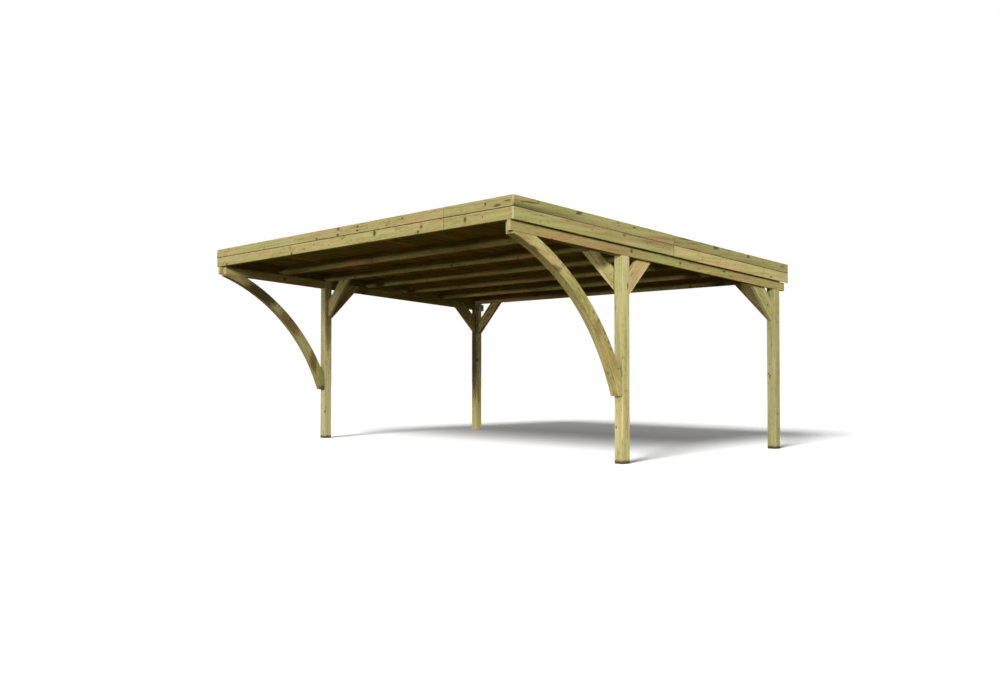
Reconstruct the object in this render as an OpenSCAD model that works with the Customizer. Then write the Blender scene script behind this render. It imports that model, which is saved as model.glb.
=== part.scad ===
// Double carport in pressure-treated softwood: four posts, two side beams, a shallow
// roof tray that falls to the back, knee braces, and two arches at the entrance.
// X runs across the entrance, -Y is the front, and the posts stand on Z = 0.

/* [Overall] */
// Width over the fascia boards
roof_w = 5850; // [4800:10:6600]
// Depth over the fascia boards
roof_d = 4890; // [4400:10:6000]
// Height of the roof's top edge at the front
front_h = 2645; // [2400:5:3000]
// Fall of the roof to the back, in mm for each metre of its depth
roof_fall = 62; // [20:1:80]

/* [Posts] */
// Side of the square posts
post_s = 115; // [96:1:140]
// From the front of the roof to the front posts
front_overhang = 1645; // [1400:5:1900]
// From the back posts to the back of the roof
back_overhang = 135; // [100:5:400]
// From the fascia's outer face in to the posts' outer faces
post_inset = 45; // [30:1:90]

/* [Side beams] */
// Thickness of the side beams, which are let into the posts
beam_t = 45; // [36:1:60]
// Depth of the side beams
beam_h = 103; // [86:1:160]

/* [Rafters] */
// Thickness of a rafter
rafter_t = 45; // [35:1:60]
// Depth of a rafter
rafter_h = 120; // [90:1:144]
// Bays between the front and the back posts
bays = 4; // [3:1:6]

/* [Fascia] */
// Thickness of the fascia boards
fascia_t = 20; // [16:1:28]
// Height of the upper fascia board
upper_h = 111; // [95:1:134]
// Height of the lower fascia board
lower_h = 123; // [105:1:148]
// Height of the lower fascia board at the back
back_lower_h = 99; // [80:1:104]
// Length of the front one of the two boards along each side
side_board = 2485; // [2300:1:2700]

/* [Roof] */
// Thickness of the roof boarding
deck_t = 19; // [16:1:28]
// Thickness of the roofing sheet
sheet_t = 3; // [2:0.5:6]
// From the fascia's top edge down to the sheet's upturned rim
rim_drop = 12; // [5:1:30]

/* [Braces] */
// Thickness of a knee brace
brace_t = 45; // [38:1:54]
// Width of the braces along the side beams
side_brace_w = 180; // [140:1:216]
// Width of the braces across the carport
cross_brace_w = 160; // [125:1:192]
// From the post to where the lower edge of a side brace meets the beam
side_reach = 430; // [350:1:550]
// From the post to where the lower edge of a cross brace meets its rafter
cross_reach = 515; // [420:1:640]
// From the back of a post to the back of its cross brace and its rafter
brace_set = 13; // [0:1:40]

/* [Arches] */
// Radius of an arch's hollow edge
arch_r = 2520; // [2100:10:3100]
// Radius of an arch's outer edge
arch_back_r = 2785; // [2300:10:3400]
// Depth of an arch at the middle of its curve
arch_depth = 110; // [90:1:132]
// From the front of the roof to the tip of an arch
arch_tip_set = 50; // [45:1:120]
// Height of the blunt tip of an arch
arch_tip_h = 20; // [10:1:60]
// Height of the foot of an arch above the ground
arch_foot_h = 715; // [500:5:1000]
// Depth of the foot of an arch, out from the post
arch_foot_d = 64; // [45:1:100]

/* [Hidden] */

wood = [0.72, 0.68, 0.46];
wood_front = [0.77, 0.70, 0.50];
wood_shade = [0.55, 0.50, 0.32];
sheet_colour = [0.20, 0.21, 0.22];

left = -1;
right = 1;

// Side views are drawn in tray coordinates: v runs back from the front of the roof,
// and w runs up from the top edge of the front fascia
slope = roof_fall / 1000;
ground = -front_h;

// Plumb depths below the top edge of the fascia
fascia_h = upper_h + lower_h;
back_fascia_h = upper_h + back_lower_h;
beam_top = fascia_h;
beam_foot = beam_top + beam_h;
rafter_top = fascia_h - rafter_h;
deck_top = rafter_top - deck_t;
sheet_top = deck_top - sheet_t;

// Faces of the posts and what stands on them, out from the middle of the carport
post_out = roof_w / 2 - post_inset;
post_in = post_out - post_s;
beam_in = post_out - beam_t;
tray_in = roof_w / 2 - fascia_t;

// Places along v: front faces of the posts and of the rafters over the cross braces
front_post_v = front_overhang;
back_post_v = roof_d - back_overhang - post_s;
front_rafter_v = front_post_v + post_s - brace_set - brace_t;
post_span = back_post_v - front_post_v;

// Height w of a plane that lies at a plumb depth below the fascia's top edge
function fall_line(v, depth) = -slope * v - depth;

// Front face of the rafter that stands i bays behind the front posts
function rafter_v(i) = front_rafter_v + round(i * post_span / bays);

// Stands a side view up: extrudes it from x0 to x1, on the right or on the left
module side_view(side, x0, x1) {
    mirror([side == left ? 1 : 0, 0, 0])
        translate([x0, -roof_d / 2, front_h])
            rotate([90, 0, 90])
                linear_extrude(x1 - x0)
                    children();
}

// Side view between two plumb depths, with plumb ends at v0 and v1
module strip(v0, v1, upper, lower) {
    polygon([[v0, fall_line(v0, lower)], [v1, fall_line(v1, lower)],
        [v1, fall_line(v1, upper)], [v0, fall_line(v0, upper)]]);
}

// Posts: full section up to the beam, inner part up to the rafters

module post(side, v) {
    color(wood)
        union() {
            side_view(side, post_in, post_out) post_outline(v, beam_foot);
            side_view(side, post_in, beam_in) post_outline(v, beam_top);
        }
}

module post_outline(v, depth) {
    back = v + post_s;
    polygon([[v, ground], [back, ground], [back, fall_line(back, depth)],
        [v, fall_line(v, depth)]]);
}

module front_left_post() {
    post(left, front_post_v);
}

module front_right_post() {
    post(right, front_post_v);
}

module back_left_post() {
    post(left, back_post_v);
}

module back_right_post() {
    post(right, back_post_v);
}

// Side beams: one long plank in the posts' outer rebates, up to the back fascia

module beam(side) {
    color(wood)
        side_view(side, beam_in, post_out)
            strip(0, roof_d - fascia_t, beam_top, beam_foot);
}

module left_beam() {
    beam(left);
}

module right_beam() {
    beam(right);
}

// Inner planks that double the beams above the arches

module arch_plank(side) {
    color(wood_shade)
        side_view(side, post_in, beam_in)
            strip(arch_tip_set, front_post_v, beam_top, beam_foot);
}

module left_arch_plank() {
    arch_plank(left);
}

module right_arch_plank() {
    arch_plank(right);
}

// Arches: as wide as the posts, cut to the beam, the post and their two ends

arch_tip = [arch_tip_set, fall_line(arch_tip_set, beam_foot) - arch_tip_h];
arch_foot = [front_post_v - arch_foot_d, ground + arch_foot_h];
chord = arch_foot - arch_tip;
chord_l = norm(chord);
inward = [chord[1], -chord[0]] / chord_l;
hollow_set = sqrt(pow(arch_r, 2) - pow(chord_l / 2, 2));
hollow_centre = (arch_tip + arch_foot) / 2 + hollow_set * inward;
back_centre = hollow_centre + (arch_back_r - arch_r - arch_depth) * inward;

module arch(side) {
    color(wood)
        side_view(side, post_in, post_out)
            intersection() {
                arch_corner();
                difference() {
                    translate(back_centre) circle(r = arch_back_r, $fn = 360);
                    translate(hollow_centre) circle(r = arch_r, $fn = 360);
                }
            }
}

// The corner that an arch fills, between its tip, the beam, the post and its foot
module arch_corner() {
    foot_w = ground + arch_foot_h;
    polygon([[arch_tip_set, foot_w], [front_post_v, foot_w],
        [front_post_v, fall_line(front_post_v, beam_foot)],
        [arch_tip_set, fall_line(arch_tip_set, beam_foot)]]);
}

module left_arch() {
    arch(left);
}

module right_arch() {
    arch(right);
}

// Knee braces at 45 degrees, cut to the rafters' undersides

// A brace's outline as it leaves the post, from its lower edge at height w
module brace_outline(w, width) {
    run = cross_reach + beam_foot;
    cut = width * sqrt(2);
    polygon([[0, w], [run, w + run], [run, w + run + cut], [0, w + cut]]);
}

// Side brace: on the inner face of the beam, from a post's face at v
module side_brace(side, v, way) {
    reach_v = v + (way == left ? -side_reach : side_reach);
    foot_w = fall_line(reach_v, beam_foot) - side_reach;
    color(wood)
        side_view(side, beam_in - brace_t, beam_in)
            intersection() {
                translate([v, 0])
                    mirror([way == left ? 1 : 0, 0])
                        brace_outline(foot_w, side_brace_w);
                strip(0, roof_d, beam_top, front_h);
            }
}

// Cross brace: from a post's inner face up under the rafter above it
module cross_brace(side, post_v) {
    front = post_v + post_s - brace_set - brace_t;
    foot_w = fall_line(front, beam_top) - cross_reach;
    color(wood)
        intersection() {
            mirror([side == left ? 1 : 0, 0, 0])
                translate([post_in, front + brace_t - roof_d / 2, front_h])
                    rotate([90, 0, 0])
                        linear_extrude(brace_t)
                            mirror([1, 0])
                                brace_outline(foot_w, cross_brace_w);
            side_view(side, post_in - cross_reach, post_in)
                strip(front, front + brace_t, beam_top, front_h);
        }
}

module front_left_side_brace() {
    side_brace(left, front_post_v + post_s, right);
}

module front_right_side_brace() {
    side_brace(right, front_post_v + post_s, right);
}

module back_left_side_brace() {
    side_brace(left, back_post_v, left);
}

module back_right_side_brace() {
    side_brace(right, back_post_v, left);
}

module front_left_cross_brace() {
    cross_brace(left, front_post_v);
}

module front_right_cross_brace() {
    cross_brace(right, front_post_v);
}

module back_left_cross_brace() {
    cross_brace(left, back_post_v);
}

module back_right_cross_brace() {
    cross_brace(right, back_post_v);
}

// Rafters: across the whole carport, on top of the beams

module rafter(v, foot) {
    color(wood_shade)
        side_view(right, -tray_in, tray_in) strip(v, v + rafter_t, rafter_top, foot);
}

module front_edge_rafter() {
    rafter(fascia_t, beam_top);
}

module front_bay_rafter() {
    rafter(rafter_v(-1), beam_top);
}

module front_post_rafter() {
    rafter(rafter_v(0), beam_top);
}

module bay_rafters() {
    for (i = [1:bays - 1]) rafter(rafter_v(i), beam_top);
}

module back_post_rafter() {
    rafter(rafter_v(bays), beam_top);
}

// The one behind the back fascia is cut down to end level with it
module back_edge_rafter() {
    rafter(roof_d - fascia_t - rafter_t, back_fascia_h);
}

// Fascia: two boards high, with the side boards over the ends of the others

module cross_fascia(v, upper, lower) {
    color(wood_front)
        side_view(right, -tray_in, tray_in) strip(v, v + fascia_t, upper, lower);
}

module side_fascia(side, v0, v1, upper, lower) {
    color(wood)
        side_view(side, tray_in, roof_w / 2) strip(v0, v1, upper, lower);
}

module front_upper_fascia() {
    cross_fascia(0, 0, upper_h);
}

module front_lower_fascia() {
    cross_fascia(0, upper_h, fascia_h);
}

module back_upper_fascia() {
    cross_fascia(roof_d - fascia_t, 0, upper_h);
}

module back_lower_fascia() {
    cross_fascia(roof_d - fascia_t, upper_h, back_fascia_h);
}

module left_upper_front_board() {
    side_fascia(left, 0, side_board, 0, upper_h);
}

module left_upper_back_board() {
    side_fascia(left, side_board, roof_d, 0, upper_h);
}

module left_lower_front_board() {
    side_fascia(left, 0, side_board, upper_h, fascia_h);
}

module left_lower_back_board() {
    side_fascia(left, side_board, roof_d, upper_h, fascia_h);
}

module right_upper_front_board() {
    side_fascia(right, 0, side_board, 0, upper_h);
}

module right_upper_back_board() {
    side_fascia(right, side_board, roof_d, 0, upper_h);
}

module right_lower_front_board() {
    side_fascia(right, 0, side_board, upper_h, fascia_h);
}

module right_lower_back_board() {
    side_fascia(right, side_board, roof_d, upper_h, fascia_h);
}

// Roof boarding on the rafters, and the sheet laid on it and turned up at the fascia

module roof_deck() {
    color(wood_shade)
        side_view(right, -tray_in, tray_in)
            strip(fascia_t, roof_d - fascia_t, deck_top, rafter_top);
}

module roof_sheet() {
    front = fascia_t;
    back = roof_d - fascia_t;
    color(sheet_colour)
        difference() {
            side_view(right, -tray_in, tray_in) strip(front, back, rim_drop, deck_top);
            side_view(right, -tray_in + sheet_t, tray_in - sheet_t)
                strip(front + sheet_t, back - sheet_t, 0, sheet_top);
        }
}

front_left_post();
front_right_post();
back_left_post();
back_right_post();
left_beam();
right_beam();
left_arch_plank();
right_arch_plank();
left_arch();
right_arch();
front_left_side_brace();
front_right_side_brace();
back_left_side_brace();
back_right_side_brace();
front_left_cross_brace();
front_right_cross_brace();
back_left_cross_brace();
back_right_cross_brace();
front_edge_rafter();
front_bay_rafter();
front_post_rafter();
bay_rafters();
back_post_rafter();
back_edge_rafter();
front_upper_fascia();
front_lower_fascia();
back_upper_fascia();
back_lower_fascia();
left_upper_front_board();
left_upper_back_board();
left_lower_front_board();
left_lower_back_board();
right_upper_front_board();
right_upper_back_board();
right_lower_front_board();
right_lower_back_board();
roof_deck();
roof_sheet();
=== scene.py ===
import math
import random

import bmesh
import bpy
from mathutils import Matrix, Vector


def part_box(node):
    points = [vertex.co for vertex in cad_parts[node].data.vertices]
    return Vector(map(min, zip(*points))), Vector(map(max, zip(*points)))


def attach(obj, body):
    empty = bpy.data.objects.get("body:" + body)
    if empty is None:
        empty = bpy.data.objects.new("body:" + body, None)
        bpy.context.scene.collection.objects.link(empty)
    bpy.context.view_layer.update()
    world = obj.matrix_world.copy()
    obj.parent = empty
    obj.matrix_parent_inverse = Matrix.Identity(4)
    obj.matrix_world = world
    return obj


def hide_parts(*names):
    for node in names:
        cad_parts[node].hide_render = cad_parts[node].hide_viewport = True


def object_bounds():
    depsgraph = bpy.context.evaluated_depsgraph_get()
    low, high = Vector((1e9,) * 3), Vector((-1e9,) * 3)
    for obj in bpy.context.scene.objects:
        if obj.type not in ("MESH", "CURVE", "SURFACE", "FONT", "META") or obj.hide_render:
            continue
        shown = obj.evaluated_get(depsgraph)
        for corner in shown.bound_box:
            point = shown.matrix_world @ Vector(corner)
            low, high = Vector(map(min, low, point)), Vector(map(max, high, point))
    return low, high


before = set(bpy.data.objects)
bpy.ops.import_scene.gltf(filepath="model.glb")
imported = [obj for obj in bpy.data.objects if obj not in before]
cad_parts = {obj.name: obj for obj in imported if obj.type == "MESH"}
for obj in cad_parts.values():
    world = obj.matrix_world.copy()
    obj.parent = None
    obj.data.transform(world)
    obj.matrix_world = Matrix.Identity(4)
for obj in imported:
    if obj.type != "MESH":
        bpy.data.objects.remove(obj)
cad_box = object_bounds()


# ---------------------------------------------------------------- posts
# Four square posts of pressure-treated spruce, planed on all sides with their
# edges eased. The tops are notched on the outside, so the beams sit in them and
# are screwed through.
POST_EASE = 0.005
POST_PALE, POST_DARK, POST_WARM = "#D3CA9A", "#B0A66F", "#BDA26A"

# what all the timber has in common: its colours, and its sizes in metres
SALT_GREEN, WARM_WOOD = "#A9AA62", "#C09A68"
KNOT_HEART, KNOT_PALER, KNOT_RIM = "#46340F", "#6B5228", "#7E6A3A"
CHECK_BROWN, FLECK_BROWN = "#54451C", "#5E4F20"
SAWN_END, JOINT_DARK = "#D9D0A6", "#2E260C"
WANDER = 0.030             # the fibres stray a few millimetres, a fraction of this
WHORL = 0.42               # from one ring of branches to the next, along the log
BRANCH_TURN = 0.62         # from branch to branch round the log, in radians
KNOT_SHAPE = (0.75, 1.0, 0.35)     # knots are longer along the grain and deep into the log
KNOT_RADIUS = 0.017        # of the thickest branches
YEAR_RING = 0.0065         # wider than the real 2 to 5 mm, so that the rings show
RING_WANDER = 0.010
PLANED_ROUGHNESS = (0.55, 0.72)
GRAIN_DEPTH = 0.0008


def linear(hex_colour):
    """An sRGB hex colour as the linear values that a shader socket takes."""
    parts = [int(hex_colour[i:i + 2], 16) / 255 for i in (1, 3, 5)]
    return [c / 12.92 if c <= 0.04045 else ((c + 0.055) / 1.055) ** 2.4
            for c in parts] + [1.0]


def add(tree, kind, inputs=None, out=0, **settings):
    """Adds one node with its settings and its inputs, each a value or a link, and gives
    one output, or the node itself where out is None."""
    made = tree.nodes.new(kind)
    for key, value in settings.items():
        setattr(made, key, value)
    for key, value in (inputs or {}).items():
        if isinstance(value, bpy.types.NodeSocket):
            tree.links.new(value, made.inputs[key])
        else:
            made.inputs[key].default_value = value
    return made if out is None else made.outputs[out]


def new_material(name):
    """A material with an empty node tree, and that tree."""
    material = bpy.data.materials.new(name)
    material.use_nodes = True
    material.node_tree.nodes.clear()
    return material, material.node_tree


def new_object(name, data):
    """An object in the scene, at the origin, for a mesh, a lamp or a camera."""
    made = bpy.data.objects.new(name, data)
    bpy.context.scene.collection.objects.link(made)
    return made


def treated_spruce(name, pale, dark, warm=WARM_WOOD, knots=1.0, contrast=1.0, flecked=1.0,
                   pale_end=0.2, marks=()):
    """Pressure-treated spruce, planed. The copper salts give it an olive cast over the
    straw colour of the wood. It is drawn in the board's own place in the log: x along the
    grain, y and z across it from the pith, so faces, edges and end grain agree. Common
    timber has knots, contrast and flecked at 1. Marks are those of single boards: where
    each is, its half sizes, its colour and its strength."""
    material, t = new_material(name)
    grain = add(t, "ShaderNodeAttribute", out="Vector", attribute_name="grain")
    tint = add(t, "ShaderNodeAttribute", out="Fac", attribute_name="tint")
    tone = add(t, "ShaderNodeAttribute", out="Fac", attribute_name="tone")

    # noise drawn out along the grain: waves a metre along and across it, detail, and start
    noise = {}
    for pattern, waves, detail, start in (
            ("wander", (1.7, 5.0, 5.0), 2.0, (0.0, 0.0, 0.0)),
            ("fibres", (7.0, 420.0, 420.0), 3.0, (0.0, 0.0, 0.0)),
            ("patches", (1.3, 9.0, 9.0), 3.0, (0.0, 0.0, 0.0)),
            ("warmth", (0.9, 14.0, 14.0), 3.0, (7.0, 3.0, 5.0)),
            ("checking", (1.6, 34.0, 34.0), 1.5, (0.0, 0.0, 0.0)),
            ("flecks", (17.0, 210.0, 210.0), 2.5, (0.0, 0.0, 0.0))):
        drawn = add(t, "ShaderNodeVectorMath", {0: grain, 1: waves, 2: start},
                    operation="MULTIPLY_ADD")
        noise[pattern] = add(t, "ShaderNodeTexNoise",
                             {"Vector": drawn, "Scale": 1.0, "Detail": detail},
                             out="Color" if pattern == "wander" else "Fac")
    fibres, patches, warmth, flecks = [noise[p] for p in ("fibres", "patches", "warmth", "flecks")]

    # the place in the log, with fibres that wander from straight
    bent = add(t, "ShaderNodeVectorMath", {0: noise["wander"], 1: (0.0, WANDER, WANDER), 2: grain},
               operation="MULTIPLY_ADD")
    x, y, z = add(t, "ShaderNodeSeparateXYZ", {0: bent}, out=None).outputs
    from_pith = add(t, "ShaderNodeVectorMath", {0: bent, 1: (0.0, 1.0, 1.0)}, operation="MULTIPLY")
    radius = add(t, "ShaderNodeVectorMath", {0: from_pith}, out="Value", operation="LENGTH")
    turn = add(t, "ShaderNodeMath", {0: z, 1: y}, operation="ARCTAN2")

    # branches leave the pith in whorls, and show as round knots where the board cuts them.
    # A Map Range takes its value, the range that it comes from and the one that it goes to
    on_log = add(t, "ShaderNodeCombineXYZ", {0: x, 1: turn})
    spacing = (WHORL, BRANCH_TURN, 1.0)
    spot = add(t, "ShaderNodeVectorMath", {0: on_log, 1: spacing}, operation="DIVIDE")
    cells = add(t, "ShaderNodeTexVoronoi", {"Vector": spot, "Scale": 1.0, "Randomness": 0.9},
                out=None, voronoi_dimensions="2D")
    branch = add(t, "ShaderNodeVectorMath", {0: cells.outputs["Position"], 1: spacing},
                 operation="MULTIPLY")
    off_branch = add(t, "ShaderNodeVectorMath", {0: on_log, 1: branch}, operation="SUBTRACT")
    along, off_turn, _ = add(t, "ShaderNodeSeparateXYZ", {0: off_branch}, out=None).outputs
    aside = add(t, "ShaderNodeMath", {0: radius, 1: off_turn}, operation="MULTIPLY")
    thickness, depth, _ = add(t, "ShaderNodeSeparateXYZ", {0: cells.outputs["Color"]},
                              out=None).outputs
    best_cut = add(t, "ShaderNodeMapRange", {0: depth, 1: 0.0, 2: 1.0, 3: 0.06, 4: 0.17},
                   interpolation_type="SMOOTHSTEP")
    inner = add(t, "ShaderNodeMath", {0: radius, 1: best_cut}, operation="SUBTRACT")
    off_knot = add(t, "ShaderNodeCombineXYZ", {0: along, 1: aside, 2: inner})
    shaped = add(t, "ShaderNodeVectorMath", {0: off_knot, 1: KNOT_SHAPE}, operation="MULTIPLY")
    distance = add(t, "ShaderNodeVectorMath", {0: shaped}, out="Value", operation="LENGTH")
    size = add(t, "ShaderNodeMapRange",
               {0: thickness, 1: 0.25, 2: 1.0, 3: 0.0004, 4: KNOT_RADIUS * knots},
               interpolation_type="SMOOTHSTEP")
    reach = add(t, "ShaderNodeMath", {0: distance, 1: size}, operation="DIVIDE")
    knot = add(t, "ShaderNodeMapRange", {0: reach, 1: 1.05, 2: 0.80}, interpolation_type="SMOOTHSTEP")
    rim = add(t, "ShaderNodeMapRange", {0: reach, 1: 2.2, 2: 0.9, 4: 0.55},
              interpolation_type="SMOOTHSTEP")

    # yearly rings, which swell round the knots
    swell = add(t, "ShaderNodeMapRange", {0: distance, 1: 0.07, 2: 0.0, 4: 1.4},
                interpolation_type="SMOOTHSTEP")
    swelled = add(t, "ShaderNodeMath", {0: swell, 1: size, 2: radius}, operation="MULTIPLY_ADD")
    in_log = add(t, "ShaderNodeCombineXYZ", {0: x, 1: swelled, 2: turn})
    lean = add(t, "ShaderNodeVectorMath", {0: in_log, 1: (0.35, 42.0, 0.0)}, operation="MULTIPLY")
    years = add(t, "ShaderNodeTexNoise", {"Vector": lean, "Scale": 1.0, "Detail": 2.0}, out="Fac")
    uneven = add(t, "ShaderNodeMath", {0: years, 1: RING_WANDER, 2: swelled},
                 operation="MULTIPLY_ADD")
    rings = add(t, "ShaderNodeMath", {0: uneven, 1: YEAR_RING}, operation="DIVIDE")
    year = add(t, "ShaderNodeMath", {0: rings}, operation="FRACT")
    summer = add(t, "ShaderNodeMapRange", {0: year, 1: 0.25, 2: 0.88}, interpolation_type="SMOOTHSTEP")
    winter = add(t, "ShaderNodeMapRange", {0: year, 1: 1.0, 2: 0.93}, interpolation_type="SMOOTHSTEP")
    late_wood = add(t, "ShaderNodeMath", {0: summer, 1: winter}, operation="MULTIPLY")

    # broad darker and lighter streaks along the board, late wood and single fibres
    long = add(t, "ShaderNodeVectorMath", {0: in_log, 1: (0.9, 30.0, 3.0)}, operation="MULTIPLY")
    streaks = add(t, "ShaderNodeTexNoise",
                  {"Vector": long, "Scale": 1.0, "Detail": 4.0, "Roughness": 0.62}, out="Fac")
    streaked = add(t, "ShaderNodeMapRange", {0: streaks, 1: 0.36, 2: 0.66, 4: 0.62 * contrast},
                   interpolation_type="SMOOTHSTEP")
    fibrous = add(t, "ShaderNodeMapRange", {0: fibres, 1: 0.30, 2: 0.70, 4: 0.20},
                  interpolation_type="SMOOTHSTEP")
    lined = add(t, "ShaderNodeMath", {0: late_wood, 1: 0.22 * contrast, 2: fibrous},
                operation="MULTIPLY_ADD")
    shade = add(t, "ShaderNodeMath", {0: streaked, 1: lined}, operation="ADD")

    # salts taken up unevenly: olive in some stretches, the warm wood showing in others
    salted = add(t, "ShaderNodeMath", {0: tint, 1: -0.30, 2: patches}, operation="MULTIPLY_ADD")
    olive = add(t, "ShaderNodeMapRange", {0: salted, 1: 0.22, 2: 0.58, 4: 0.55},
                interpolation_type="SMOOTHSTEP")
    bare = add(t, "ShaderNodeMath", {0: tint, 1: 0.30, 2: warmth}, operation="MULTIPLY_ADD")
    warmed = add(t, "ShaderNodeMapRange", {0: bare, 1: 0.58, 2: 0.80, 4: 0.75},
                 interpolation_type="SMOOTHSTEP")

    # drying checks: hairline splits along the grain, in patches, drawn 2 mm wide to show
    from_line = add(t, "ShaderNodeMath", {0: noise["checking"], 1: 0.5}, operation="SUBTRACT")
    off_line = add(t, "ShaderNodeMath", {0: from_line}, operation="ABSOLUTE")
    hairline = add(t, "ShaderNodeMapRange", {0: off_line, 1: 0.016, 2: 0.004},
                   interpolation_type="SMOOTHSTEP")
    dried = add(t, "ShaderNodeMapRange", {0: warmth, 1: 0.42, 2: 0.56}, interpolation_type="SMOOTHSTEP")
    checks = add(t, "ShaderNodeMath", {0: hairline, 1: dried}, operation="MULTIPLY")
    checked = add(t, "ShaderNodeMath", {0: checks, 1: 0.60}, operation="MULTIPLY")

    # resin and dark flecks 20 to 80 mm long and a few millimetres wide, closer in some stretches
    crowded = add(t, "ShaderNodeMath", {0: patches, 1: 0.45, 2: flecks}, operation="MULTIPLY_ADD")
    resin = add(t, "ShaderNodeMapRange", {0: crowded, 1: 0.885 - 0.06 * flecked,
                                          2: 1.005 - 0.05 * flecked, 4: 0.75},
                interpolation_type="SMOOTHSTEP")
    in_knot = add(t, "ShaderNodeMapRange", {0: fibres, 1: 0.35, 2: 0.65}, interpolation_type="SMOOTHSTEP")
    knot_colour = add(t, "ShaderNodeMix", {0: in_knot, 6: linear(KNOT_HEART), 7: linear(KNOT_PALER)},
                      out=2, data_type="RGBA")

    # sawn ends are paler, and the boards are drawn darker along their joints
    sawn = add(t, "ShaderNodeAttribute", out="Fac", attribute_name="sawn")
    paled = add(t, "ShaderNodeMath", {0: sawn, 1: pale_end}, operation="MULTIPLY")
    near_joint = add(t, "ShaderNodeAttribute", out="Fac", attribute_name="near_joint")
    joint_darkened = add(t, "ShaderNodeMapRange", {0: near_joint, 1: 0.15, 2: 0.85, 4: 0.90},
                interpolation_type="SMOOTHSTEP")

    # the coats of colour on the pale wood, in their order
    layers = [(shade, linear(dark)), (olive, linear(SALT_GREEN)), (warmed, linear(warm)),
              (checked, linear(CHECK_BROWN)), (resin, linear(FLECK_BROWN)),
              (rim, linear(KNOT_RIM)), (knot, knot_colour), (paled, linear(SAWN_END)),
              (joint_darkened, linear(JOINT_DARK))]

    # the marks of single boards, with the flecks fraying their outlines
    here = add(t, "ShaderNodeTexCoord", out="Object")
    for centre, half, stain, strength in marks:
        off = add(t, "ShaderNodeVectorMath", {0: here, 1: centre}, operation="SUBTRACT")
        scaled = add(t, "ShaderNodeVectorMath", {0: off, 1: half}, operation="DIVIDE")
        out = add(t, "ShaderNodeVectorMath", {0: scaled}, out="Value", operation="LENGTH")
        frayed = add(t, "ShaderNodeMath", {0: flecks, 1: 2.2, 2: out}, operation="MULTIPLY_ADD")
        stained = add(t, "ShaderNodeMapRange", {0: frayed, 1: 2.25, 2: 1.75, 4: strength},
                      interpolation_type="SMOOTHSTEP")
        layers.append((stained, linear(stain)))

    colour = linear(pale)
    for amount, layer in layers:
        colour = add(t, "ShaderNodeMix", {0: amount, 6: colour, 7: layer}, out=2, data_type="RGBA")
    toned = add(t, "ShaderNodeVectorMath", {0: colour, "Scale": tone}, operation="SCALE")

    height = 0.0
    for part, raised in ((checks, -1.0), (knot, 0.5), (fibres, 0.6), (late_wood, 0.35)):
        height = add(t, "ShaderNodeMath", {0: part, 1: raised, 2: height}, operation="MULTIPLY_ADD")
    bump = add(t, "ShaderNodeBump", {"Height": height, "Strength": 0.5, "Distance": GRAIN_DEPTH})
    smooth, rough = PLANED_ROUGHNESS
    roughness = add(t, "ShaderNodeMapRange", {0: fibres, 1: 0.2, 2: 0.8, 3: smooth, 4: rough},
                    interpolation_type="SMOOTHSTEP")
    shader = add(t, "ShaderNodeBsdfPrincipled", {
        "Base Color": toned, "Roughness": roughness, "IOR": 1.5, "Specular IOR Level": 0.2,
        "Normal": bump})
    add(t, "ShaderNodeOutputMaterial", {"Surface": shader}, out=None)
    return material


def islands(shape):
    """The separate closed solids of a bmesh, each as its list of vertices."""
    left, found = set(shape.verts), []
    while left:
        todo, solid = [min(left, key=lambda v: v.index)], []
        left.discard(todo[0])
        while todo:
            v = todo.pop()
            solid.append(v)
            for e in v.link_edges:
                w = e.other_vert(v)
                if w in left:
                    left.discard(w)
                    todo.append(w)
        found.append(solid)
    return found


def store(mesh, name, kind, domain, values):
    """Keeps values, numbers or vectors, on a mesh as a named attribute."""
    if kind == "FLOAT_VECTOR":
        mesh.attributes.new(name, kind, domain).data.foreach_set("vector", [n for v in values for n in v])
    else:
        mesh.attributes.new(name, kind, domain).data.foreach_set("value", values)


SAME_POINT = 1e-5
FLAT_BELOW = math.radians(0.4)      # facets that turn less than this are one face
EASE_ABOVE = math.radians(25)       # edges that turn more than this are eased
SHARP_ABOVE = math.radians(15)


def cut_board(cad_node, joint, inset):
    """The CAD node's solids as one bmesh. joint is where two lengths meet along x and half
    the gap between them, and inset is how far each face stands back along x, y and z."""
    board = bmesh.new()
    for keep in (None,) if joint is None else (min, max):
        length = bmesh.new()
        length.from_mesh(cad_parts[cad_node].data)
        if keep:
            meet, gap = joint
            cut = meet - gap if keep is min else meet + gap
            for v in length.verts:
                v.co.x = keep(v.co.x, cut)
        bmesh.ops.remove_doubles(length, verts=length.verts[:], dist=SAME_POINT)
        bmesh.ops.dissolve_limit(length, angle_limit=FLAT_BELOW,
                                 verts=length.verts[:], edges=length.edges[:])
        middle = sum((v.co for v in length.verts), Vector()) / len(length.verts)
        for v in length.verts:
            for axis in range(3):
                v.co[axis] -= math.copysign(inset[axis], v.co[axis] - middle[axis])
        passed_on = bpy.data.meshes.new("length")
        length.to_mesh(passed_on)
        length.free()
        board.from_mesh(passed_on)
        bpy.data.meshes.remove(passed_on)
    return board


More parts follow.
